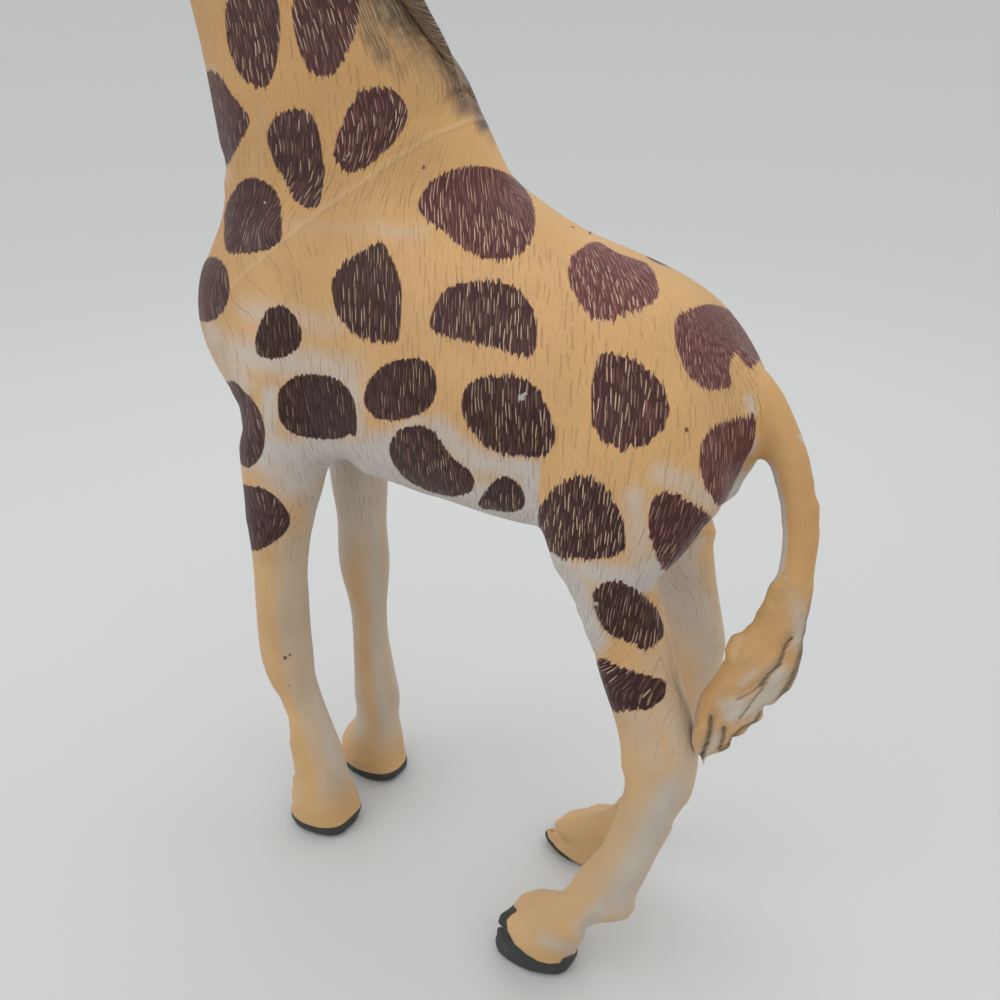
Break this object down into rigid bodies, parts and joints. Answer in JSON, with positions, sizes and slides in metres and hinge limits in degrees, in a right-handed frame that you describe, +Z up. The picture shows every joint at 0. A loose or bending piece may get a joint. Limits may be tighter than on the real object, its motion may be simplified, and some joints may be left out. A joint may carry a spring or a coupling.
{
  "type": "toy giraffe figure",
  "caption": "Standing giraffe figure in painted vinyl, with a tall neck, a spotted coat, posed legs with black soles, and a tail that curves down to the hock.",
  "frame": {"origin": "on the ground under the middle of the figure's bounding box", "axes": "+Z up; the giraffe faces -X and its left side is towards -Y"},
  "size_m": [0.177, 0.0506, 0.2991],
  "materials": {
    "vinyl_yellow": "satin airbrushed paint",
    "vinyl_cream": "satin vinyl",
    "spot_brown": "satin paint",
    "mane_brown": "matt paint",
    "hoof_black": "matt paint",
    "eye_black": "gloss lacquer"
  },
  "bodies": {
    "root": {"torso": "vinyl_yellow", "hindquarters": "vinyl_yellow", "neck": "vinyl_yellow", "head": "vinyl_yellow", "tail": "vinyl_yellow", "fore_leg_left": "vinyl_cream", "fore_leg_right": "vinyl_cream", "hind_leg_left": "vinyl_cream", "hind_leg_right": "vinyl_cream", "tail_tuft": "vinyl_cream", "mane": "mane_brown", "ear_left": "vinyl_yellow", "ear_right": "vinyl_yellow", "horn_left": "spot_brown", "horn_right": "spot_brown", "eye_left": "eye_black", "eye_right": "eye_black", "hoof_sole_fore_left": "hoof_black", "hoof_sole_fore_right": "hoof_black", "hoof_sole_hind_left": "hoof_black", "hoof_sole_hind_right": "hoof_black"}
  },
  "joints": []
}
